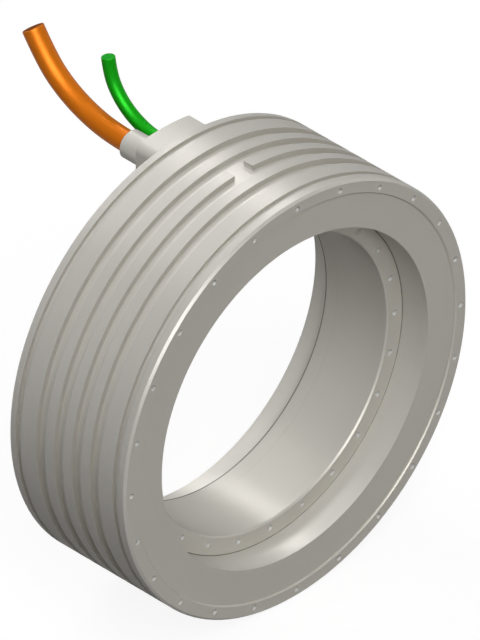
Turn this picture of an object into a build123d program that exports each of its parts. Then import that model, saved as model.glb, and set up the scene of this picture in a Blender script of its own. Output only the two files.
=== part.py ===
from build123d import *
import os
from math import cos, pi, radians, sqrt, tan

# Frameless ring motor, in millimetres. A grooved cooling jacket carries a laminated
# core with its coils, and a ring of magnets with a wide open bore turns inside it.
# The axis of rotation is Y. The origin is the centre of the front mounting face,
# the motor runs back along +Y, and the cables leave the rear at the top, along +Z.

# Whole motor
motor_length = 130.0
outer_dia = 385.0
core_front = 30.0
core_back = 30.0

# Cooling jacket
jacket_wall = 13.0
front_edge_chamfer = 2.0
rear_edge_chamfer = 1.5
lip_chamfer = 1.0
groove_count = 4
groove_width = 10.0
groove_depth = 5.0
rib_width = 10.0
crossover_width = 20.0
seal_groove_width = 5.0
seal_groove_depth = 3.2
front_seal_land = 9.0
rear_seal_land = 7.5

# Mounting holes, tapped in both ends of the stator and of the rotor, one thread size
# smaller at the rear
bolt_count = 24
stator_bolt_inset = 7.5
rotor_bolt_inset = 7.5
front_hole_dia = 5.0
front_hole_depth = 14.0
rear_hole_dia = 4.2
rear_hole_depth = 12.0

# Laminated core, slots and coils
slot_count = 48
tooth_width = 10.0
yoke_thickness = 8.0
slot_depth = 22.0
wedge_thickness = 2.0
liner_thickness = 0.4
liner_overhang = 2.0
coil_play = 0.2
coil_inner_corner = 1.8
coil_outer_corner = 6.6
coil_tail = 3.0

# Ring-shaped covers that close both winding ends
cover_recess = 1.75
cover_end_wall = 3.0
cover_inner_wall = 2.0
cover_outer_wall = 5.0

# Copper rings that join the coils at the rear
ring_gap_behind_coils = 2.0
ring_cover_gap = 2.5
ring_thickness = 2.0
ring_pitch = 3.5
ring_inset = 3.2

# Rotor
air_gap = 0.7
bandage_thickness = 0.5
magnet_thickness = 4.0
back_iron_thickness = 11.8
pole_count = 44
pole_cover = 0.85
end_ring_width = 3.0
rotor_bore_chamfer = 1.4
rotor_relief_length = 13.8
rotor_relief_depth = 0.4

# Cable outlet on the rear face
outlet_width = 60.0
outlet_outer_inset = 3.5
outlet_inner_inset = 4.5
outlet_corner = 8.0
outlet_depth = 20.8
outlet_wall = 3.5
outlet_back_wall = 8.8
outlet_edge = 1.0
outlet_seal_play = 0.2
power_sleeve_dia = 25.0
power_sleeve_length = 18.7
cable_axis_inset = 15.7
power_spigot_dia = 20.0
power_sleeve_chamfer = 0.5
sleeve_bore_play = 0.2
core_bore_dia = 14.0
cable_spacing = 19.8
signal_bush_wall = 1.0
outlet_screw_inset = 9.5
outlet_screw_side_inset = 4.5
outlet_screw_pitch = 12.1
screw_dia = 4.0
screw_head_dia = 7.0
screw_head_height = 4.0
screw_key = 3.0
screw_key_depth = 2.0
screw_reach = 8.0
screw_hole_play = 0.25

# Cables and the wires inside
power_cable_dia = 18.7
signal_cable_dia = 11.6
lead_width = 3.0
lead_thickness = 2.0
lead_spacing = 4.0
bend_share = 0.45
power_seat = 16.0
signal_seat = 6.4
sensor_dia = 4.0
sensor_length = 10.0
sensor_wire = 1.6
sensor_step = 15.0

# Places worked out from the sizes above
outer_radius = outer_dia / 2
jacket_bore = outer_radius - jacket_wall
slot_bottom = jacket_bore - yoke_thickness
stator_bore = slot_bottom - slot_depth
core_rear = motor_length - core_back
core_length = core_rear - core_front
core_middle = (core_front + core_rear) / 2
bolt_pitch = 360 / bolt_count
stator_bolt_circle = 2 * (outer_radius - stator_bolt_inset)
slot_pitch = 360 / slot_count
tooth_pitch_half = radians(slot_pitch / 2)
coil_bottom = stator_bore + wedge_thickness + coil_play
coil_count = slot_count // 2
coil_pitch = 360 / coil_count
slot_skin = liner_thickness + coil_play
coil_window = tooth_width + 2 * slot_skin
next_tooth = coil_bottom * tan(2 * tooth_pitch_half) - tooth_width / 2 / cos(2 * tooth_pitch_half)
coil_side = next_tooth - slot_skin / cos(2 * tooth_pitch_half) - coil_window / 2
coil_width = coil_window + 2 * coil_side
liner_bottom = slot_bottom - liner_thickness
coil_lean = coil_width / 2 * tan(tooth_pitch_half)
coil_top = liner_bottom / cos(tooth_pitch_half) - coil_lean - coil_play
coil_end_gap = liner_overhang + coil_inner_corner + coil_play
coil_window_length = core_length + 2 * coil_end_gap
coil_length = coil_window_length + 2 * coil_side
coil_rear = core_middle + coil_length / 2
cover_rear = motor_length - cover_recess
ring_front = coil_rear + ring_gap_behind_coils
ring_rear = cover_rear - cover_end_wall - ring_cover_gap
rotor_radius = stator_bore - air_gap
rotor_front = core_front
rotor_rear = core_rear
magnet_outer = rotor_radius - bandage_thickness
back_iron_radius = magnet_outer - magnet_thickness
rotor_bore = back_iron_radius - back_iron_thickness
rotor_bolt_circle = 2 * (rotor_bore + rotor_bolt_inset)
outlet_rear = motor_length + outlet_depth
outlet_half = outlet_width / 2
outlet_outer_radius = outer_radius - outlet_outer_inset
outlet_inner_radius = stator_bore + outlet_inner_inset
cable_axis_z = outlet_outer_radius - cable_axis_inset
cavity_rear = outlet_rear - outlet_back_wall
power_axis_x = power_sleeve_dia / 2 - outlet_half
signal_axis_x = power_axis_x + cable_spacing
power_sleeve_rear = outlet_rear + power_sleeve_length
signal_bush_dia = signal_cable_dia + 2 * (signal_bush_wall + sleeve_bore_play)

power_start = power_sleeve_rear - power_seat
signal_start = outlet_rear - signal_seat

# Routes of the two cables, chosen by hand: how far back and how far up each point lies
# from the cable's start. Both leave straight to the rear and then climb.
power_steps = [(0, 0), (29.2, 0), (58.4, 4.8), (86.6, 16.6), (109.4, 34.6), (125.6, 58.4)]
signal_steps = [
    (0, 0), (16.4, 0), (32.7, 3.8), (47.2, 11.1), (59.0, 22.1), (67.2, 36.6), (69.8, 52.4)
]


def turned(section):
    """Revolve a closed outline of (radius, distance from the front face) about the axis."""
    return revolve(make_face(Polyline(*section, close=True)), Axis.Y)


def tube(inner, outer, front, rear):
    """A plain ring between two radii and two distances from the front face."""
    return turned([(inner, front), (outer, front), (outer, rear), (inner, rear)])


def pin(diameter, front, rear):
    """A plain round pin along the axis of rotation."""
    return turned([(0, front), (diameter / 2, front), (diameter / 2, rear), (0, rear)])


def prism(outline, front, length):
    """Carry an outline drawn in X and Z from front straight back along the axis."""
    return extrude(Plane.XZ.offset(-front) * outline, amount=-length)


def turn_to(angle, shape):
    """Swing a shape made beside +X round the axis, towards +Z, by an angle in degrees."""
    return Rot(0, -angle, 0) * shape


def save(node, shape):
    """Write one sub-part, as one solid or as a group of separate solids."""
    if isinstance(shape, list):
        shape = Compound(children=[solid for part in shape for solid in part.solids()])
    export_step(shape, f"parts/{node}.step")


def bolt_angles():
    """The angles of a whole bolt pattern."""
    return [index * bolt_pitch for index in range(bolt_count)]


def front_holes(circle_dia, face):
    """A whole pattern of holes on a circle, cut towards the rear from a front face."""
    hole = Pos(circle_dia / 2, 0, 0) * pin(front_hole_dia, face, face + front_hole_depth)
    return [turn_to(angle, hole) for angle in bolt_angles()]


def rear_holes(circle_dia, face, angles):
    """Holes on a circle at the angles given, cut towards the front from a rear face."""
    hole = Pos(circle_dia / 2, 0, 0) * pin(rear_hole_dia, face - rear_hole_depth, face)
    return [turn_to(angle, hole) for angle in angles]


def under_outlet(angle):
    """True where a hole of the stator's pattern would lie beneath the cable outlet."""
    x = stator_bolt_circle / 2 * cos(radians(angle))
    return angle < 180 and abs(x) < outlet_half + rear_hole_dia / 2


def channel(front, width, depth):
    """The four outline points of a groove turned into the outer surface."""
    floor = outer_radius - depth
    rear = front + width
    return [(outer_radius, front), (floor, front), (floor, rear), (outer_radius, rear)]


def cooling_grooves():
    """The fronts of the cooling grooves, spread evenly over the core."""
    span = groove_count * groove_width + (groove_count - 1) * rib_width
    first = core_middle - span / 2
    return [first + index * (groove_width + rib_width) for index in range(groove_count)]


def make_jacket():
    """Turned jacket: seal grooves, cooling grooves and the gaps that join them."""
    section = [(jacket_bore + lip_chamfer, 0), (outer_radius - front_edge_chamfer, 0)]
    section += [(outer_radius, front_edge_chamfer)]
    section += channel(front_seal_land, seal_groove_width, seal_groove_depth)
    for front in cooling_grooves():
        section += channel(front, groove_width, groove_depth)
    rear_seal = motor_length - rear_seal_land - seal_groove_width
    section += channel(rear_seal, seal_groove_width, seal_groove_depth)
    section += [(outer_radius, motor_length - rear_edge_chamfer)]
    section += [(outer_radius - rear_edge_chamfer, motor_length)]
    section += [(jacket_bore + lip_chamfer, motor_length)]
    section += [(jacket_bore, motor_length - lip_chamfer), (jacket_bore, lip_chamfer)]
    jacket = turned(section)
    open_angles = [angle for angle in bolt_angles() if not under_outlet(angle)]
    jacket -= front_holes(stator_bolt_circle, 0)
    jacket -= rear_holes(stator_bolt_circle, motor_length, open_angles)
    jacket -= [rib_gap(index) for index in range(groove_count - 1)]
    jacket -= [Pos(x, 0, z) * screw_thread_hole() for x, z in outlet_screw_places()]
    return jacket


def rib_gap(index):
    """A gap through one rib, floored like the grooves it joins. The gaps alternate,
    bottom and top, so that the water meanders."""
    front = cooling_grooves()[index] + groove_width
    floor = outer_radius - groove_depth
    band = Circle(outer_radius + groove_depth) - Circle(floor)
    strip = Pos(0, outer_radius) * Rectangle(crossover_width, 4 * groove_depth)
    turn = 0 if index % 2 else 180
    return Rot(0, turn, 0) * prism(band & strip, front, rib_width)


def slot_half_width(radius, margin=0.0):
    """Half the width of a slot between parallel-sided teeth, at a distance from the axis."""
    return radius * tan(tooth_pitch_half) - (tooth_width / 2 + margin) / cos(tooth_pitch_half)


def slot_outline(inner, outer, margin=0.0):
    """A slot's section beside +X, open at inner, with a margin kept off its teeth."""
    low, high = slot_half_width(inner, margin), slot_half_width(outer, margin)
    corners = [(inner, -low), (outer, -high), (outer, high), (inner, low)]
    return make_face(Polyline(*corners, close=True))


def slot_angles():
    """Slots lie half a slot pitch either side of each tooth."""
    return [(index + 0.5) * slot_pitch for index in range(slot_count)]


def make_core():
    """Stack of laminations with open slots between parallel-sided teeth."""
    lamination = Circle(jacket_bore) - Circle(stator_bore)
    slot = slot_outline(rotor_radius, slot_bottom)
    lamination -= [Rot(0, 0, angle) * slot for angle in slot_angles()]
    return prism(lamination, core_front, core_length)


def make_liners():
    """Folded U of insulating paper in each slot, standing proud at both ends."""
    mouth = stator_bore + wedge_thickness
    fold = slot_outline(mouth, slot_bottom)
    fold -= slot_outline(mouth, slot_bottom - liner_thickness, liner_thickness)
    liner = prism(fold, core_front - liner_overhang, core_length + 2 * liner_overhang)
    return [turn_to(angle, liner) for angle in slot_angles()]


def make_wedges():
    """Strips that close the slots, flush with the teeth along the bore."""
    mouth = slot_outline(stator_bore, stator_bore + wedge_thickness)
    wedge = prism(mouth, core_front, core_length)
    return [turn_to(angle, wedge) for angle in slot_angles()]


def ring_radius(index):
    """Distance from the axis to a copper ring's flats: 0, 1 and 2 are phases, 3 the star."""
    return coil_top - ring_inset - index * ring_pitch


def coil_at(index):
    """A former-wound coil round one tooth, with a tail to its phase ring and to the star."""
    frame = Plane(origin=(coil_bottom, core_middle, 0), x_dir=(0, 1, 0), z_dir=(1, 0, 0))
    outside = chamfer(Rectangle(coil_length, coil_width).vertices(), coil_outer_corner)
    window = chamfer(Rectangle(coil_window_length, coil_window).vertices(), coil_inner_corner)
    coil = extrude(frame * (outside - window), amount=coil_top - coil_bottom)
    offset = coil_window / 2 - coil_tail
    for side, ring in ((-1, phase_of(index)), (1, 3)):
        tail = Box(ring_thickness, ring_front - coil_rear + coil_side / 2, coil_tail)
        middle = (ring_front + coil_rear - coil_side / 2) / 2
        coil += Pos(ring_radius(ring) + ring_thickness / 2, middle, side * offset) * tail
    return turn_to(index * coil_pitch, coil)


def phase_of(index):
    """Coils of a phase lie in neighbouring pairs: U, U, V, V, W, W and so on."""
    return index // 2 % 3


def make_coils(phase):
    """All the coils of one phase."""
    return [coil_at(index) for index in range(coil_count) if phase_of(index) == phase]


def make_copper_ring(index):
    """A copper strip on edge, bent between the coils, flush against their tails."""
    def bent(flats):
        return RegularPolygon(flats, coil_count, major_radius=False, rotation=coil_pitch / 2)

    inside = ring_radius(index)
    return prism(bent(inside + ring_thickness) - bent(inside), ring_front, ring_rear - ring_front)


def make_cover(face, inward, core_end):
    """Ring-shaped cover with a U section, open towards the core (+1 or -1 from its face)."""
    floor = face + cover_end_wall * inward
    inner_wall = stator_bore + cover_inner_wall
    outer_wall = jacket_bore - cover_outer_wall
    section = [
        (stator_bore, face),
        (jacket_bore, face),
        (jacket_bore, core_end),
        (outer_wall, core_end),
        (outer_wall, floor),
        (inner_wall, floor),
        (inner_wall, core_end),
        (stator_bore, core_end),
    ]
    return turned(section)


def make_rear_cover():
    """The rear cover has a window where the wires leave for the outlet."""
    hollow = Circle(jacket_bore - cover_outer_wall) - Circle(stator_bore + cover_inner_wall)
    window = prism(cavity_outline() & hollow, cover_rear - cover_end_wall, cover_end_wall)
    return make_cover(cover_rear, -1, core_rear) - window


def make_rotor_ring():
    """Steel back iron of the rotor, bored and tapped at both ends."""
    relief = rotor_bore + rotor_relief_depth
    section = [
        (rotor_bore + rotor_bore_chamfer, rotor_front),
        (back_iron_radius, rotor_front),
        (back_iron_radius, rotor_rear),
        (relief, rotor_rear),
        (relief, rotor_rear - rotor_relief_length),
        (rotor_bore, rotor_rear - rotor_relief_length),
        (rotor_bore, rotor_front + rotor_bore_chamfer),
    ]
    ring = turned(section)
    ring -= front_holes(rotor_bolt_circle, rotor_front)
    return ring - rear_holes(rotor_bolt_circle, rotor_rear, bolt_angles())


def make_magnets(first):
    """Every second magnet, as a curved block on the back iron."""
    pole_pitch = 360 / pole_count
    inner, outer = back_iron_radius, magnet_outer
    front, rear = rotor_front + end_ring_width, rotor_rear - end_ring_width
    corners = [(inner, front), (outer, front), (outer, rear), (inner, rear)]
    section = make_face(Polyline(*corners, close=True))
    magnet = revolve(section, Axis.Y, pole_pitch * pole_cover)
    return [turn_to(index * pole_pitch, magnet) for index in range(first, pole_count, 2)]


def make_end_ring(front):
    """Ring that stops the magnets from sliding off one end of the back iron."""
    return tube(back_iron_radius, magnet_outer, front, front + end_ring_width)


def outlet_screw_places():
    """Where the outlet's screws enter the jacket, as X and Z: from the side without cables
    inwards, as many as find room beside the signal cable."""
    radius = outer_radius - outlet_screw_inset
    outermost = outlet_half - outlet_screw_side_inset
    room = outermost - signal_axis_x - (signal_bush_dia + screw_head_dia) / 2
    count = int(room / outlet_screw_pitch) + 1
    across = [outermost - index * outlet_screw_pitch for index in range(count)]
    return [(x, sqrt(radius**2 - x**2)) for x in across]


def screw_thread_hole():
    """A hole for an outlet screw in the jacket's rear face, on the axis."""
    return pin(screw_dia, motor_length - screw_reach, motor_length)


def outlet_outline():
    """The outlet's outline: a slice of a ring, with one large corner over the power sleeve."""
    ring = Circle(outlet_outer_radius) - Circle(outlet_inner_radius)
    strip = Pos(0, outer_radius / 2) * Rectangle(outlet_width, outer_radius)
    outline = ring & strip
    top_left = outline.vertices().sort_by(lambda corner: corner.Y - corner.X)[-1]
    outline = fillet(top_left, outlet_corner)
    edges = [corner for corner in outline.vertices() if abs(corner.X) > outlet_half - outlet_edge]
    square = [corner for corner in edges if corner.X > 0 or corner.Y < outlet_inner_radius]
    return fillet(square, outlet_edge)


def cavity_outline():
    """The hollow of the outlet, where the wires turn from the winding to the cables."""
    left = power_axis_x - core_bore_dia / 2
    right = signal_axis_x + signal_bush_dia / 2
    low = outlet_inner_radius + outlet_wall
    high = cable_axis_z + core_bore_dia / 2
    return Pos((left + right) / 2, (low + high) / 2) * Rectangle(right - left, high - low)


def make_outlet():
    """Hollow block on the rear face that turns the wires over to the cables."""
    block = prism(outlet_outline(), motor_length, outlet_depth)
    block -= prism(cavity_outline(), motor_length, outlet_depth - outlet_back_wall)
    block -= Pos(power_axis_x, 0, cable_axis_z) * pin(power_spigot_dia, cavity_rear, outlet_rear)
    block -= Pos(signal_axis_x, 0, cable_axis_z) * pin(signal_bush_dia, cavity_rear, outlet_rear)
    for x, z in outlet_screw_places():
        seat = outlet_rear - screw_head_height
        shank = pin(screw_dia + 2 * screw_hole_play, motor_length, seat)
        head = pin(screw_head_dia + 2 * screw_hole_play, seat, outlet_rear)
        block -= Pos(x, 0, z) * (shank + head)
    return block


def make_outlet_seal():
    """Pad between the rear cover and the outlet, with a window for the wires."""
    pad = outlet_outline() & (Circle(jacket_bore - outlet_seal_play) - Circle(stator_bore))
    return prism(pad - cavity_outline(), cover_rear, cover_recess)


def make_outlet_screws():
    """Socket-head screws that hold the outlet on the jacket."""
    seat = outlet_rear - screw_head_height
    shank = pin(screw_dia, motor_length - screw_reach, seat)
    hexagon = RegularPolygon(screw_key / 2, 6, major_radius=False)
    key = prism(hexagon, outlet_rear - screw_key_depth, screw_key_depth)
    screw = shank + pin(screw_head_dia, seat, outlet_rear) - key
    return [Pos(x, 0, z) * screw for x, z in outlet_screw_places()]


def make_power_sleeve():
    """Turned sleeve: a spigot in the outlet, then a bore that grips the power cable."""
    core_bore = core_bore_dia / 2
    cable_bore = power_cable_dia / 2 + sleeve_bore_play
    spigot = power_spigot_dia / 2
    rim = power_sleeve_dia / 2
    section = [
        (core_bore, cavity_rear),
        (spigot, cavity_rear),
        (spigot, outlet_rear),
        (rim, outlet_rear),
        (rim, power_sleeve_rear - power_sleeve_chamfer),
        (rim - power_sleeve_chamfer, power_sleeve_rear),
        (cable_bore, power_sleeve_rear),
        (cable_bore, power_start),
        (core_bore, power_start),
    ]
    return Pos(power_axis_x, 0, cable_axis_z) * turned(section)


def make_signal_bush():
    """Rubber bush, flush in the outlet's rear wall, that the signal cable passes through."""
    bore = signal_cable_dia / 2 + sleeve_bore_play
    bush = tube(bore, signal_bush_dia / 2, cavity_rear, outlet_rear)
    return Pos(signal_axis_x, 0, cable_axis_z) * bush


def make_cable(name, points, diameter):
    """A round cable along straight runs joined by tangent arcs as large as the runs allow."""
    corners = [Vector(*point) for point in points]
    radii = []
    for before, corner, after in zip(corners, corners[1:], corners[2:]):
        shorter = min((corner - before).length, (after - corner).length)
        turn = radians((corner - before).get_angle(after - corner))
        radii.append(bend_share * shorter / tan(turn / 2))
    path = FilletPolyline(*points, radius=radii)
    start = Plane(origin=path @ 0, z_dir=path % 0)
    cable = sweep(start * Circle(diameter / 2), path)
    section = pi * diameter**2 / 4
    print(name, "radii", [round(radius, 1) for radius in radii], "length", round(path.length, 2),
          "volume ratio", round(cable.volume / (section * path.length), 5))
    return cable


def make_phase_leads():
    """Copper straps from the phase rings through the outlet to the mouth of the cable."""
    step = (motor_length + cavity_rear) / 2
    leads = []
    for phase in range(3):
        x = power_axis_x + (1 - phase) * lead_spacing
        z_ring = ring_radius(phase) + ring_thickness / 2
        middle = Polyline(
            (ring_rear, z_ring), (step, z_ring), (step, cable_axis_z), (power_start, cable_axis_z)
        )
        strap = trace(middle, line_width=lead_thickness)
        leads.append(extrude(Plane.YZ.offset(x) * strap, amount=lead_width / 2, both=True))
    return leads


def make_sensors():
    """Temperature sensors, one on the coil head of each of three neighbouring coils."""
    middle = coil_top + sensor_dia / 2
    bead = Pos(0, 0, middle) * pin(sensor_dia, core_rear, core_rear + sensor_length)
    return [turn_to(side * sensor_step, bead) for side in (-1, 0, 1)]


def make_sensor_wires():
    """Flat wires from the sensors, round the back of the coils and out to the signal cable."""
    inner = coil_top + sensor_dia / 2 - sensor_wire / 2
    front = core_rear + sensor_length
    place = (Align.CENTER, Align.MIN, Align.MIN)
    strip = Plane.YZ * Pos(front, inner) * Rectangle(sensor_wire, sensor_wire, align=Align.MIN)
    loop = turn_to(sensor_step, revolve(strip, Axis.Y, 2 * sensor_step))
    tail = Box(sensor_wire, signal_start - front, sensor_wire, align=place)
    return loop + Pos(signal_axis_x, front, inner) * tail


power_route = [
    (power_axis_x, power_start + back, cable_axis_z + up) for back, up in power_steps
]
signal_route = [
    (signal_axis_x, signal_start + back, cable_axis_z + up) for back, up in signal_steps
]

os.makedirs("parts", exist_ok=True)

coils = [make_coils(phase) for phase in range(3)]
liners = make_liners()
copper_rings = [make_copper_ring(index) for index in range(4)]
leads = make_phase_leads()
sensors = make_sensors()
sensor_wires = make_sensor_wires()

save("cooling_jacket", make_jacket())
save("stator_core", make_core())
save("slot_liners", liners)
save("slot_wedges", make_wedges())
save("coils_phase_u", coils[0])
save("coils_phase_v", coils[1])
save("coils_phase_w", coils[2])
save("copper_ring_u", copper_rings[0])
save("copper_ring_v", copper_rings[1])
save("copper_ring_w", copper_rings[2])
save("star_point_ring", copper_rings[3])
save("front_winding_cover", make_cover(cover_recess, 1, core_front))
save("rear_winding_cover", make_rear_cover())
save("phase_leads", leads)
save("temperature_sensors", sensors)
save("sensor_wires", sensor_wires)
save("cable_outlet", make_outlet())
save("outlet_seal", make_outlet_seal())
save("outlet_screws", make_outlet_screws())
save("power_sleeve", make_power_sleeve())
save("signal_bush", make_signal_bush())
save("power_cable", make_cable("power", power_route, power_cable_dia))
save("signal_cable", make_cable("signal", signal_route, signal_cable_dia))
save("rotor_ring", make_rotor_ring())
save("north_magnets", make_magnets(0))
save("south_magnets", make_magnets(1))
save("magnet_bandage", tube(magnet_outer, rotor_radius, rotor_front, rotor_rear))
save("front_end_ring", make_end_ring(rotor_front))
save("rear_end_ring", make_end_ring(rotor_rear - end_ring_width))
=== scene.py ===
"""A frameless ring motor: machined steel and cast grey metal, with an orange power cable and a
green signal cable that leave the block on its rear face. All lengths are in metres."""

import bpy
import numpy as np
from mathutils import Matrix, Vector


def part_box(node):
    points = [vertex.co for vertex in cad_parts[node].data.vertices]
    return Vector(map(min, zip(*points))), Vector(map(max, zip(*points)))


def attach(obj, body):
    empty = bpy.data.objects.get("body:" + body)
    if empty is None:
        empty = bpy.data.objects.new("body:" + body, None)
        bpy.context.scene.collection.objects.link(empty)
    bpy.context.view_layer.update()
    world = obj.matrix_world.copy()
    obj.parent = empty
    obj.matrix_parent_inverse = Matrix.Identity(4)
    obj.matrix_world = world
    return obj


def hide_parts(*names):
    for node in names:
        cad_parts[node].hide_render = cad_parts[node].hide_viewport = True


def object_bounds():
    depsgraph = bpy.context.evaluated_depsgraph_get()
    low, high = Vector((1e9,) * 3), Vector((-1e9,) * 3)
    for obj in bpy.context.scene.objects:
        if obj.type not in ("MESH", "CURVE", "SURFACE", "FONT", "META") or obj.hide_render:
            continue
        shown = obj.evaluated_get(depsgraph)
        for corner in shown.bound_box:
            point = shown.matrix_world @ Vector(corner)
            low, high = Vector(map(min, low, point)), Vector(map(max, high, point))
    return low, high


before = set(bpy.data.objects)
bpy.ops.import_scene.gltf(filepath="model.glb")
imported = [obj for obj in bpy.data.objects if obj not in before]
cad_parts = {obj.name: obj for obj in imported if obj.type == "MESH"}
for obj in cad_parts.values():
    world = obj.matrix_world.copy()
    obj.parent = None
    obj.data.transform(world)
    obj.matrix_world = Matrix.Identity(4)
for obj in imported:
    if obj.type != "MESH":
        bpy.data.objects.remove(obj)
cad_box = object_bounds()

# The view: straight down the diagonal of the three axes, from the front, left and top.
LOOK = Vector((1, 1, -1)).normalized()
VIEW_CENTRE = Vector((-0.0060, 0.0580, 0.0520))
VIEW_HEIGHT = 0.5078
LENS = 1250.0
SENSOR = 36.0
DEPTH_OF_MIDDLE = 0.0072

# Finishes, as linear colours, fitted to the picture under this scene's own lamps
STEEL = (0.600, 0.575, 0.518)
CAST = (0.660, 0.642, 0.595)
WHITE = (1.0, 1.0, 1.0)
# Painted light and shade, not finishes of the real part: the lamps leave a soft shade in the
# grooves and holes that the picture doesn't have. Ribs, groove floors, cover bores and upward hole
# walls are lighter, for painted light; groove walls, the rotor's bore and downward hole walls are
# darker, for painted shade
RIB_PAINTED_LIGHT = (0.628, 0.606, 0.562)
GROOVE_FLOOR_PAINTED_LIGHT = (0.740, 0.715, 0.666)
GROOVE_WALL_PAINTED_SHADE = (0.575, 0.551, 0.497)
COVER_BORE_PAINTED_LIGHT = (0.702, 0.680, 0.633)
ROTOR_BORE_PAINTED_SHADE = (0.588, 0.568, 0.520)
HOLE_PAINTED_LIGHT = (0.98, 0.97, 0.94)
HOLE_PAINTED_SHADE = 0.45
# Metal is nearly matt: real metal gave bright edges that the picture doesn't have
METAL_GLOSS = 0.0
METAL_SHARE = 0.10
METAL_SPREAD = 0.04
SHEATH_GLOSS = 0.05
SHEATH_SHEEN = 0.15
SHEATH_SPREAD = 0.10
ORANGE = (0.66, 0.168, 0.005)
# The cut ends: the orange end darker than its sheath, for painted shade, and the green end a touch
# lighter than its sheath
ORANGE_END_PAINTED_SHADE = (0.20, 0.050, 0.002)
GREEN = (0.006, 0.380, 0.006)
GREEN_END_TONE = (0.018, 0.400, 0.030)

# How fine the marks are, in waves a metre, and how deep they look
RING_SCALE = 900.0
FINE_RING_SCALE = 3600.0
CLOUD_SCALE = 14.0
MARK_DEPTH = 0.00002
PIT_SCALE = 2600.0
BLAST_CLOUD_SCALE = 30.0
BLAST_DEPTH = 0.00003
GRAIN_SCALE = 1500.0
GRAIN_DEPTH = 0.00004

# The two cables, with the same route points as their solids
POWER_ROUTE = [
    (-0.0175, 0.1535, 0.1733),
    (-0.0175, 0.1827, 0.1733),
    (-0.0175, 0.2119, 0.1781),
    (-0.0175, 0.2401, 0.1899),
    (-0.0175, 0.2629, 0.2079),
    (-0.0175, 0.2791, 0.2317),
]
POWER_DIAMETER = 0.0187
SIGNAL_ROUTE = [
    (0.0023, 0.1444, 0.1733),
    (0.0023, 0.1608, 0.1733),
    (0.0023, 0.1771, 0.1771),
    (0.0023, 0.1916, 0.1844),
    (0.0023, 0.2034, 0.1954),
    (0.0023, 0.2116, 0.2099),
    (0.0023, 0.2142, 0.2257),
]
SIGNAL_DIAMETER = 0.0116
CURVE_STEPS = 24
CURVE_ORDER = 3
CABLE_SIDES = 64
CUT_ROUNDING = 0.0006
# Rings of a cable: along it, round the cut edge, and on the flat end down to its centre
BODY_RINGS = 60
EDGE_RINGS = 5
FACE_RINGS = 8
FACE_SHARES = (0.97, 0.002)
# The chart's value on the flat end stays below this, and above it on the rest
END_OF_CHART = -0.001

# Where the tapped holes lie: the circles' radii and half the width that they take up
JACKET_BOLTS = (0.185, "cooling_jacket")
ROTOR_BOLTS = (0.140, "rotor_ring")
BOLT_REACH = 0.0027
BOLT_DEPTH = 0.0145
BOLT_EDGE = 0.0001
# Where the rotor's relieved bore begins and where it ends, with painted shade: a faint line in the
# corner at the start and a dark edge at the end
RELIEF_START = 0.0862
RELIEF_CORNER = 0.0006
RELIEF_END = 0.0988
RELIEF_RADIUS = 0.1331
RELIEF_PAINTED_SHADE_LINE = 0.85
RELIEF_PAINTED_SHADE_EDGE = 0.40
# Round surfaces with painted light or shade: the groove floors and the ribs of the jacket and the
# bores of the covers are lighter, for painted light, and the bore of the rotor darker, for painted
# shade. Each lies on one side of a radius.
JACKET_PAINTED_ROUNDS = [("GREATER_THAN", 0.1870, GROOVE_FLOOR_PAINTED_LIGHT), ("GREATER_THAN", 0.1905, RIB_PAINTED_LIGHT)]
COVER_PAINTED_ROUNDS = [("LESS_THAN", 0.1498, COVER_BORE_PAINTED_LIGHT)]
ROTOR_PAINTED_ROUNDS = [("LESS_THAN", 0.1330, ROTOR_BORE_PAINTED_SHADE)]
GROOVE_FLOOR = 0.1870
END_LAND = 0.0050
FACE_LEAN = 0.8

# The surroundings
SKY = (0.02, 0.02, 0.02)
FLOOR_TONE = (0.15, 0.15, 0.15)
FLOOR_SEEN = 0.90
FLOOR_REACH = 60.0


class Value:
    """A socket that can be used in sums: each operator adds one Math node."""

    def __init__(self, surface, socket):
        self.surface = surface
        self.socket = socket

    def math(self, operation, *others):
        inputs = {index + 1: other for index, other in enumerate(others)}
        return self.surface.node("ShaderNodeMath", {"operation": operation}, {0: self, **inputs})

    def __add__(self, other):
        return self.math("ADD", other)

    def __sub__(self, other):
        return self.math("SUBTRACT", other)

    def __mul__(self, other):
        return self.math("MULTIPLY", other)

    def __rsub__(self, other):
        return (self * -1.0).math("ADD", other)


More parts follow.
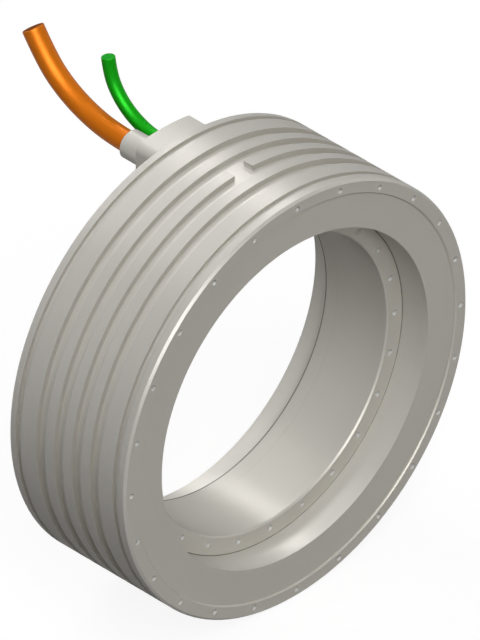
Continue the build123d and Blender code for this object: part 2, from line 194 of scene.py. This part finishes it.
class Surface:
    """A material under construction, with its Principled shader at self.shader."""

    def __init__(self, name, colour, roughness, metallic=0.0, gloss=0.5):
        self.material = bpy.data.materials.new(name)
        self.material.use_nodes = True
        self.tree = self.material.node_tree
        self.shader = self.tree.nodes["Principled BSDF"]
        self.set("Base Color", (*colour, 1.0))
        self.set("Roughness", roughness)
        self.set("Metallic", metallic)
        self.set("Specular IOR Level", gloss)

    def plug(self, socket, value):
        """Give a socket a number, a colour or the output of another node."""
        if isinstance(value, Value):
            self.tree.links.new(value.socket, socket)
        else:
            socket.default_value = value

    def set(self, name, value):
        self.plug(self.shader.inputs[name], value)

    def node(self, kind, settings=None, inputs=None, output=0):
        """Add any node: its settings first, then its sockets. Returns one of its outputs."""
        made = self.tree.nodes.new(kind)
        for name, setting in (settings or {}).items():
            setattr(made, name, setting)
        for key, value in (inputs or {}).items():
            self.plug(made.inputs[key], value)
        return Value(self, made.outputs[output])

    def place(self):
        """Object coordinates, as three separate values."""
        whole = self.node("ShaderNodeTexCoord", output=3)
        split = self.tree.nodes.new("ShaderNodeSeparateXYZ")
        self.plug(split.inputs[0], whole)
        return [Value(self, split.outputs[index]) for index in range(3)]

    def noise(self, vector, scale, detail=2.0):
        """Noise from 0 to 1 that varies about 0.5."""
        inputs = {"Vector": vector, "Scale": scale, "Detail": detail}
        return self.node("ShaderNodeTexNoise", inputs=inputs)

    def vector(self, x, y, z):
        return self.node("ShaderNodeCombineXYZ", inputs={0: x, 1: y, 2: z})

    def blend(self, factor, low, high):
        """Two colours mixed by a factor from 0 to 1, or the second laid over the first where
        a mask is 1. Either may be a node's output."""
        low, high = (end if isinstance(end, Value) else (*end, 1.0) for end in (low, high))
        inputs = {0: factor, 6: low, 7: high}
        return self.node("ShaderNodeMix", {"data_type": "RGBA"}, inputs, output=2)

    def mottle(self, tone, colour, spread):
        """A colour that drifts lighter and darker with a tone from 0 to 1."""
        return self.blend(tone, scaled(colour, 1 - spread), scaled(colour, 1 + spread))

    def bump(self, height, strength, distance):
        inputs = {"Height": height, "Strength": strength, "Distance": distance}
        self.set("Normal", self.node("ShaderNodeBump", inputs=inputs))


def scaled(colour, factor):
    """A colour made lighter or darker by one factor."""
    return tuple(min(1.0, part * factor) for part in colour)


def turned_metal(
    name, colour, roughness, marks, bolts=None, relieved=False, grooved=False, rounds=()
):
    """Metal turned about the Y axis: fine rings that depend on radius and on length alone,
    with a slow drift of tone and roughness from the tool's wear. bolts gives the radius of
    its circle of tapped holes and its node, whose walls get painted light and shade, relieved
    gives its bore painted shade lines at a relief, grooved gives its groove walls painted shade,
    and rounds gives its round surfaces their painted light or shade."""
    surface = Surface(name, colour, roughness, METAL_SHARE, METAL_GLOSS)
    x, y, z = surface.place()
    radius = (x * x + z * z).math("SQRT")
    turn = x.math("ARCTAN2", z)
    ring_place = surface.vector(radius * RING_SCALE, y * RING_SCALE, turn * 0.6)
    fine_place = surface.vector(radius * FINE_RING_SCALE, y * FINE_RING_SCALE, turn * 2.0)
    rings = surface.noise(ring_place, 1.0)
    fine = surface.noise(fine_place, 1.0, 1.0)
    cloud = surface.noise(surface.vector(x, y, z), CLOUD_SCALE, 3.0)
    tone = rings * 0.35 + cloud * 0.65
    body = surface.mottle(tone, colour, METAL_SPREAD)
    # Painted light or shade on the round surfaces, away from the faces
    for side, limit, round_painted_tone in rounds:
        place = radius.math(side, limit) * (1.0 - is_face(surface))
        body = surface.blend(place, body, surface.mottle(tone, round_painted_tone, METAL_SPREAD))
    if grooved:
        # Painted shade on the groove walls
        walls = is_face(surface) * between_lands(radius, y)
        body = surface.blend(walls, body, GROOVE_WALL_PAINTED_SHADE)
    if bolts:
        # Painted light and shade on the walls of the tapped holes
        in_hole = in_bolt_hole(radius, y, bolts)
        body = surface.blend(in_hole, body, hole_painted_light_and_shade(surface, colour))
        surface.set("Metallic", in_hole * -METAL_SHARE + METAL_SHARE)
    if relieved:
        # Painted shade lines in the rotor's relieved bore
        body = relief_painted_shade(surface, body, colour, radius, y)
    surface.set("Base Color", body)
    surface.set("Roughness", rings * 0.10 + fine * 0.06 + (roughness - 0.08))
    surface.bump(rings * 0.5 + fine * 0.5, marks, MARK_DEPTH)
    return surface.material


def is_face(surface):
    """1 where the surface faces along the Y axis, as end faces and groove walls do."""
    return facing(surface, 1).math("ABSOLUTE").math("GREATER_THAN", FACE_LEAN)


def between_lands(radius, y):
    """1 outside the jacket's groove floors and away from its two end faces."""
    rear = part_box("cooling_jacket")[1].y
    outside = radius.math("GREATER_THAN", GROOVE_FLOOR)
    return outside * y.math("GREATER_THAN", END_LAND) * y.math("LESS_THAN", rear - END_LAND)


def relief_painted_shade(surface, body, colour, radius, y):
    """The rotor's bore: painted shade, a faint line in the corner where its relief begins and a
    dark edge where it ends.
    """
    inside = radius.math("LESS_THAN", RELIEF_RADIUS)
    past_start = y.math("GREATER_THAN", RELIEF_START)
    corner = past_start * y.math("LESS_THAN", RELIEF_START + RELIEF_CORNER)
    rear_edge = y.math("GREATER_THAN", RELIEF_END)
    body = surface.blend(inside * corner, body, scaled(colour, RELIEF_PAINTED_SHADE_LINE))
    return surface.blend(inside * rear_edge, body, scaled(colour, RELIEF_PAINTED_SHADE_EDGE))


def in_bolt_hole(radius, y, bolts):
    """1 on the walls of the tapped holes: near their circle, and a little way behind either
    end face, where depth is half the part's length less the distance from its middle."""
    circle, node = bolts
    front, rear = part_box(node)[0].y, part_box(node)[1].y
    near = (radius - circle).math("ABSOLUTE").math("LESS_THAN", BOLT_REACH)
    from_middle = (y - (front + rear) / 2).math("ABSOLUTE")
    depth = (rear - front) / 2 - from_middle
    return near * depth.math("GREATER_THAN", BOLT_EDGE) * depth.math("LESS_THAN", BOLT_DEPTH)


def facing(surface, axis):
    """How far the surface faces along one axis: that part of its normal."""
    normal = surface.node("ShaderNodeNewGeometry", output=1)
    split = surface.tree.nodes.new("ShaderNodeSeparateXYZ")
    surface.plug(split.inputs[0], normal)
    return Value(surface, split.outputs[axis])


def hole_painted_light_and_shade(surface, colour):
    """The spot that the picture shows in each hole, painted into the colour since too little light
    gets in: painted light on walls that are level or face up, and painted shade from half down."""
    upward = facing(surface, 2) * 2.0 + 1.0
    return surface.blend(upward, scaled(colour, HOLE_PAINTED_SHADE), HOLE_PAINTED_LIGHT)


def blasted_metal(name, colour, roughness, grain):
    """Metal with a fine blasted grain: small even noise in height and in tone."""
    surface = Surface(name, colour, roughness, METAL_SHARE, METAL_GLOSS)
    place = surface.vector(*surface.place())
    pits = surface.noise(place, PIT_SCALE, 2.0)
    cloud = surface.noise(place, BLAST_CLOUD_SCALE, 3.0)
    surface.set("Base Color", surface.mottle(pits * 0.4 + cloud * 0.6, colour, METAL_SPREAD))
    surface.set("Roughness", pits * 0.12 + (roughness - 0.06))
    surface.bump(pits, grain, BLAST_DEPTH)
    return surface.material


def sheath(name, colour, end_tone):
    """Extruded cable sheath: lengthwise streaks, a faint matt grain, and the cut end in its own
    tone, end_tone, which on the orange cable is painted shade. The piece's UV map gives the way
    round (u) and the way along (v), v below 0 on the end."""
    surface = Surface(name, colour, 0.42, SHEATH_SHEEN, SHEATH_GLOSS)
    chart = surface.node("ShaderNodeTexCoord", output=2)
    split = surface.tree.nodes.new("ShaderNodeSeparateXYZ")
    surface.plug(split.inputs[0], chart)
    around, along = (Value(surface, split.outputs[index]) for index in range(2))
    streaks = surface.noise(surface.vector(around * 60.0, along * 1.5, 0.0), 1.0)
    grain = surface.noise(surface.vector(*surface.place()), GRAIN_SCALE, 2.0)
    side = surface.mottle(streaks * 0.6 + grain * 0.4, colour, SHEATH_SPREAD)
    on_end = along.math("LESS_THAN", END_OF_CHART)
    surface.set("Base Color", surface.blend(on_end, side, end_tone))
    surface.set("Roughness", grain * 0.12 + streaks * 0.06 + on_end * 0.55 + 0.30)
    surface.bump(grain * 0.6 + streaks * 0.4, 0.25, GRAIN_DEPTH)
    return surface.material


def plain(name, colour, roughness, metallic=0.0, variation=0.08, scale=400.0):
    """A finish with a light, even variation of tone and roughness."""
    surface = Surface(name, colour, roughness, metallic)
    patches = surface.noise(surface.vector(*surface.place()), scale, 3.0)
    surface.set("Base Color", surface.mottle(patches, colour, variation))
    surface.set("Roughness", patches * 0.1 + (roughness - 0.05))
    surface.bump(patches, 0.2, MARK_DEPTH)
    return surface.material


def dress(material, *nodes):
    """Give CAD nodes a material in place of the plain one they came with."""
    for name in nodes:
        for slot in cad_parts[name].material_slots:
            slot.material = material


def dress_metal():
    """What shows from outside, apart from the cables."""
    jacket = turned_metal("jacket steel", STEEL, 0.34, 0.35, JACKET_BOLTS, grooved=True,
                          rounds=JACKET_PAINTED_ROUNDS)
    rotor = turned_metal("rotor steel", STEEL, 0.34, 0.35, ROTOR_BOLTS, relieved=True,
                         rounds=ROTOR_PAINTED_ROUNDS)
    dress(jacket, "cooling_jacket")
    dress(rotor, "rotor_ring")
    dress(turned_metal("cover grey", STEEL, 0.34, 0.25, rounds=COVER_PAINTED_ROUNDS),
          "front_winding_cover", "rear_winding_cover")
    dress(turned_metal("end ring steel", STEEL, 0.34, 0.35), "front_end_ring", "rear_end_ring")
    dress(turned_metal("wound bandage", STEEL, 0.55, 0.25), "magnet_bandage")
    dress(blasted_metal("outlet metal", CAST, 0.40, 0.4), "cable_outlet", "power_sleeve")
    dress(plain("screw steel", (0.42, 0.42, 0.42), 0.3, 0.8), "outlet_screws")


def dress_inside():
    """What lies inside and shows only when the motor is taken apart."""
    dress(plain("laminations", (0.28, 0.28, 0.28), 0.5, 0.7), "stator_core")
    dress(plain("slot paper", (0.70, 0.64, 0.45), 0.8), "slot_liners")
    dress(plain("slot laminate", (0.30, 0.36, 0.14), 0.6), "slot_wedges")
    dress(plain("enamelled wire", (0.42, 0.12, 0.03), 0.3),
          "coils_phase_u", "coils_phase_v", "coils_phase_w")
    dress(plain("bare copper", (0.75, 0.35, 0.20), 0.3, 0.9),
          "copper_ring_u", "copper_ring_v", "copper_ring_w", "star_point_ring", "phase_leads")
    dress(plain("magnet plating", (0.55, 0.55, 0.57), 0.25, 0.9), "north_magnets", "south_magnets")
    dress(plain("sensor bead", (0.72, 0.70, 0.62), 0.5), "temperature_sensors", "sensor_wires")
    dress(plain("seal rubber", (0.02, 0.02, 0.02), 0.7), "outlet_seal", "signal_bush")


def nurbs_line(name, route):
    """Points along a smooth NURBS line with the route as its control points."""
    curve = bpy.data.curves.new(name, "CURVE")
    curve.dimensions = "3D"
    curve.resolution_u = CURVE_STEPS
    spline = curve.splines.new("NURBS")
    spline.points.add(len(route) - 1)
    spline.points.foreach_set("co", np.c_[route, np.ones(len(route))].ravel())
    spline.order_u = CURVE_ORDER
    spline.use_endpoint_u = True
    holder = bpy.data.objects.new(name, curve)
    mesh = bpy.data.meshes.new_from_object(holder)
    points = np.zeros(len(mesh.vertices) * 3)
    mesh.vertices.foreach_get("co", points)
    bpy.data.objects.remove(holder)
    bpy.data.meshes.remove(mesh)
    bpy.data.curves.remove(curve)
    return points.reshape(-1, 3)


def tube_rings(points, diameter):
    """Centres, radii and lengths along of a tube's rings: even along the route, then a
    quarter-round edge at the cut end and the flat end itself, down to its centre."""
    steps = np.linalg.norm(np.diff(points, axis=0), axis=1)
    along = np.r_[0.0, np.cumsum(steps)]
    length = along[-1]
    body = np.linspace(0.0, length - CUT_ROUNDING, BODY_RINGS)
    corner = np.linspace(0.0, np.pi / 2, EDGE_RINGS + 1)[1:]
    edge = length - CUT_ROUNDING + CUT_ROUNDING * np.sin(corner)
    radius = diameter / 2
    face = np.linspace(*FACE_SHARES, FACE_RINGS) * (radius - CUT_ROUNDING)
    places = np.r_[body, edge, np.full(len(face), length)]
    radii = np.r_[
        np.full(len(body), radius), radius - CUT_ROUNDING * (1 - np.cos(corner)), face
    ]
    centres = np.c_[[np.interp(places, along, points[:, axis]) for axis in range(3)]].T
    chart = np.r_[body / length, np.ones(len(edge)), -face / radius - 0.01]
    return centres, radii, chart, length


def sweep_tube(name, route, diameter):
    """A round tube that follows a route lying in an upright plane along Y: each ring is
    centre + radius * (cos a * X + sin a * N), with N square to the route in that plane."""
    points = nurbs_line(name + "_line", route)
    centres, radii, chart, length = tube_rings(points, diameter)
    tangents = np.gradient(centres, axis=0)
    tangents[-(FACE_RINGS + 1):] = points[-1] - points[-2]
    tangents /= np.linalg.norm(tangents, axis=1, keepdims=True)
    across = np.array([1.0, 0.0, 0.0])
    normals = np.cross(across, tangents)
    angles = np.linspace(0.0, 2 * np.pi, CABLE_SIDES, endpoint=False)
    spokes = np.cos(angles)[:, None] * across + np.sin(angles)[:, None] * normals[:, None, :]
    grid = centres[:, None, :] + radii[:, None, None] * spokes
    piece = grid_mesh(name, grid, chart)
    return piece, points, length


def grid_mesh(name, grid, chart):
    """A mesh from rings of points: each ring joined to the next, the first and last closed
    by one polygon. UV: u is the share of the way round, v the chart's value for the ring."""
    rings, sides = grid.shape[:2]
    ring, side = np.meshgrid(np.arange(rings - 1), np.arange(sides), indexing="ij")
    after = (side + 1) % sides
    low, high = ring * sides, (ring + 1) * sides
    quads = np.stack([low + side, low + after, high + after, high + side], axis=-1)
    quads = quads.reshape(-1, 4)
    start = list(range(sides))[::-1]
    end = [(rings - 1) * sides + index for index in range(sides)]
    mesh = bpy.data.meshes.new(name)
    mesh.from_pydata(grid.reshape(-1, 3).tolist(), [], quads.tolist() + [start, end])
    mesh.shade_smooth()
    corners = np.zeros(len(mesh.loops), np.int32)
    mesh.loops.foreach_get("vertex_index", corners)
    u = (corners % sides) / sides
    wrapped = (u[: len(quads) * 4].reshape(-1, 4) == 0.0) & (side.ravel() == sides - 1)[:, None]
    u[: len(quads) * 4] = np.where(wrapped, 1.0, u[: len(quads) * 4].reshape(-1, 4)).ravel()
    layer = mesh.uv_layers.new(name="chart")
    layer.data.foreach_set("uv", np.c_[u, chart[corners // sides]].ravel())
    piece = bpy.data.objects.new(name, mesh)
    bpy.context.scene.collection.objects.link(piece)
    return piece


def add_cable(name, node, route, diameter, material):
    """One cable's sheath in place of its solid, riding on the stator as a stiff, bare cord."""
    piece, points, length = sweep_tube(name, route, diameter)
    piece.data.materials.append(material)
    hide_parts(node)
    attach(piece, "stator")


def add_cables():
    add_cable("power_cable_sheath", "power_cable", POWER_ROUTE, POWER_DIAMETER,
              sheath("orange sheath", ORANGE, ORANGE_END_PAINTED_SHADE))
    add_cable("signal_cable_sheath", "signal_cable", SIGNAL_ROUTE, SIGNAL_DIAMETER,
              sheath("green sheath", GREEN, GREEN_END_TONE))


def add_camera():
    camera = bpy.data.cameras.new("camera")
    camera.lens = LENS
    camera.sensor_width = SENSOR
    distance = VIEW_HEIGHT * LENS / SENSOR
    camera.clip_start, camera.clip_end = 1.0, 100.0
    holder = bpy.data.objects.new("camera", camera)
    holder.location = VIEW_CENTRE + LOOK * (DEPTH_OF_MIDDLE - distance)
    holder.rotation_euler = LOOK.to_track_quat("-Z", "Y").to_euler()
    bpy.context.scene.collection.objects.link(holder)
    bpy.context.scene.camera = holder


def add_sun(name, azimuth, elevation, level, softness, seen_by=("diffuse", "glossy")):
    """A soft distant lamp. level is what it adds to white paper that faces it."""
    lamp = bpy.data.lights.new(name, "SUN")
    lamp.energy = level * np.pi
    lamp.angle = np.radians(softness)
    holder = bpy.data.objects.new(name, lamp)
    turn, rise = np.radians(azimuth), np.radians(elevation)
    towards = Vector((np.cos(rise) * np.cos(turn), np.cos(rise) * np.sin(turn), np.sin(rise)))
    holder.rotation_euler = towards.to_track_quat("Z", "Y").to_euler()
    holder.visible_diffuse = "diffuse" in seen_by
    holder.visible_glossy = "glossy" in seen_by
    if "diffuse" not in seen_by:
        lamp.cycles.max_bounces = 0
        lamp.cycles.use_multiple_importance_sampling = False
    bpy.context.scene.collection.objects.link(holder)


def add_lights():
    """Soft lamps from the front, the top, the rear and the right, and three that only gleam:
    two behind the motor, for the sheen on its top, and one behind the camera, for its edges.
    The levels were fitted to the picture's shading, apart from right_lamp, which lights the
    side that the picture hides."""
    add_sun("main_lamp", 240, 50, 0.275, 30)
    add_sun("top_lamp", 250, 68, 0.11, 30)
    add_sun("front_lamp", 270, 5, 0.146, 30)
    add_sun("camera_lamp", 225, 35, 0.165, 30)
    add_sun("rear_lamp", 90, 60, 0.265, 40)
    add_sun("back_lamp", 90, 5, 0.25, 30)
    add_sun("right_lamp", 350, 10, 0.07, 30)
    add_sun("sheen_lamp", 45, 45, 0.30, 15, ("glossy",))
    add_sun("high_sheen_lamp", 45, 60, 0.135, 30, ("glossy",))
    add_sun("edge_lamp", 225, 35, 2.5, 50, ("glossy",))


def add_world():
    """Dim soft sky for the light, and white wherever the background itself is seen."""
    world = bpy.data.worlds.new("studio")
    world.use_nodes = True
    tree = world.node_tree
    bpy.context.scene.world = world
    path = tree.nodes.new("ShaderNodeLightPath")
    seen = background_seen(tree, path)
    mix = tree.nodes.new("ShaderNodeMix")
    mix.data_type = "RGBA"
    tree.links.new(seen, mix.inputs[0])
    mix.inputs[6].default_value = (*SKY, 1.0)
    mix.inputs[7].default_value = (*WHITE, 1.0)
    tree.links.new(mix.outputs[2], tree.nodes["Background"].inputs["Color"])


def background_seen(tree, path):
    """1 for camera, glossy and transmission rays, and 0 for the rest."""
    total = path.outputs["Is Camera Ray"]
    for name in ("Is Glossy Ray", "Is Transmission Ray"):
        both = tree.nodes.new("ShaderNodeMath")
        both.operation = "MAXIMUM"
        tree.links.new(total, both.inputs[0])
        tree.links.new(path.outputs[name], both.inputs[1])
        total = both.outputs[0]
    return total


def add_floor():
    """A plain floor under the motor's lowest point. It looks pale, but its own tone is dark,
    so that it throws little light back up at the motor."""
    mesh = bpy.data.meshes.new("floor")
    reach, height = FLOOR_REACH, cad_box[0].z
    corners = [(-reach, -reach), (reach, -reach), (reach, reach), (-reach, reach)]
    mesh.from_pydata([(x, y, height) for x, y in corners], [], [(0, 1, 2, 3)])
    floor = bpy.data.objects.new("floor", mesh)
    bpy.context.scene.collection.objects.link(floor)
    surface = Surface("floor", FLOOR_TONE, 0.9)
    tree = surface.tree
    path = tree.nodes.new("ShaderNodeLightPath")
    seen = Value(surface, background_seen(tree, path))
    surface.set("Specular IOR Level", 0.0)
    surface.set("Emission Color", (*WHITE, 1.0))
    surface.set("Emission Strength", seen * FLOOR_SEEN)
    mesh.materials.append(surface.material)


add_camera()
add_cables()
dress_metal()
dress_inside()
add_lights()
add_world()
add_floor()
bpy.context.scene.view_settings.view_transform = "Standard"
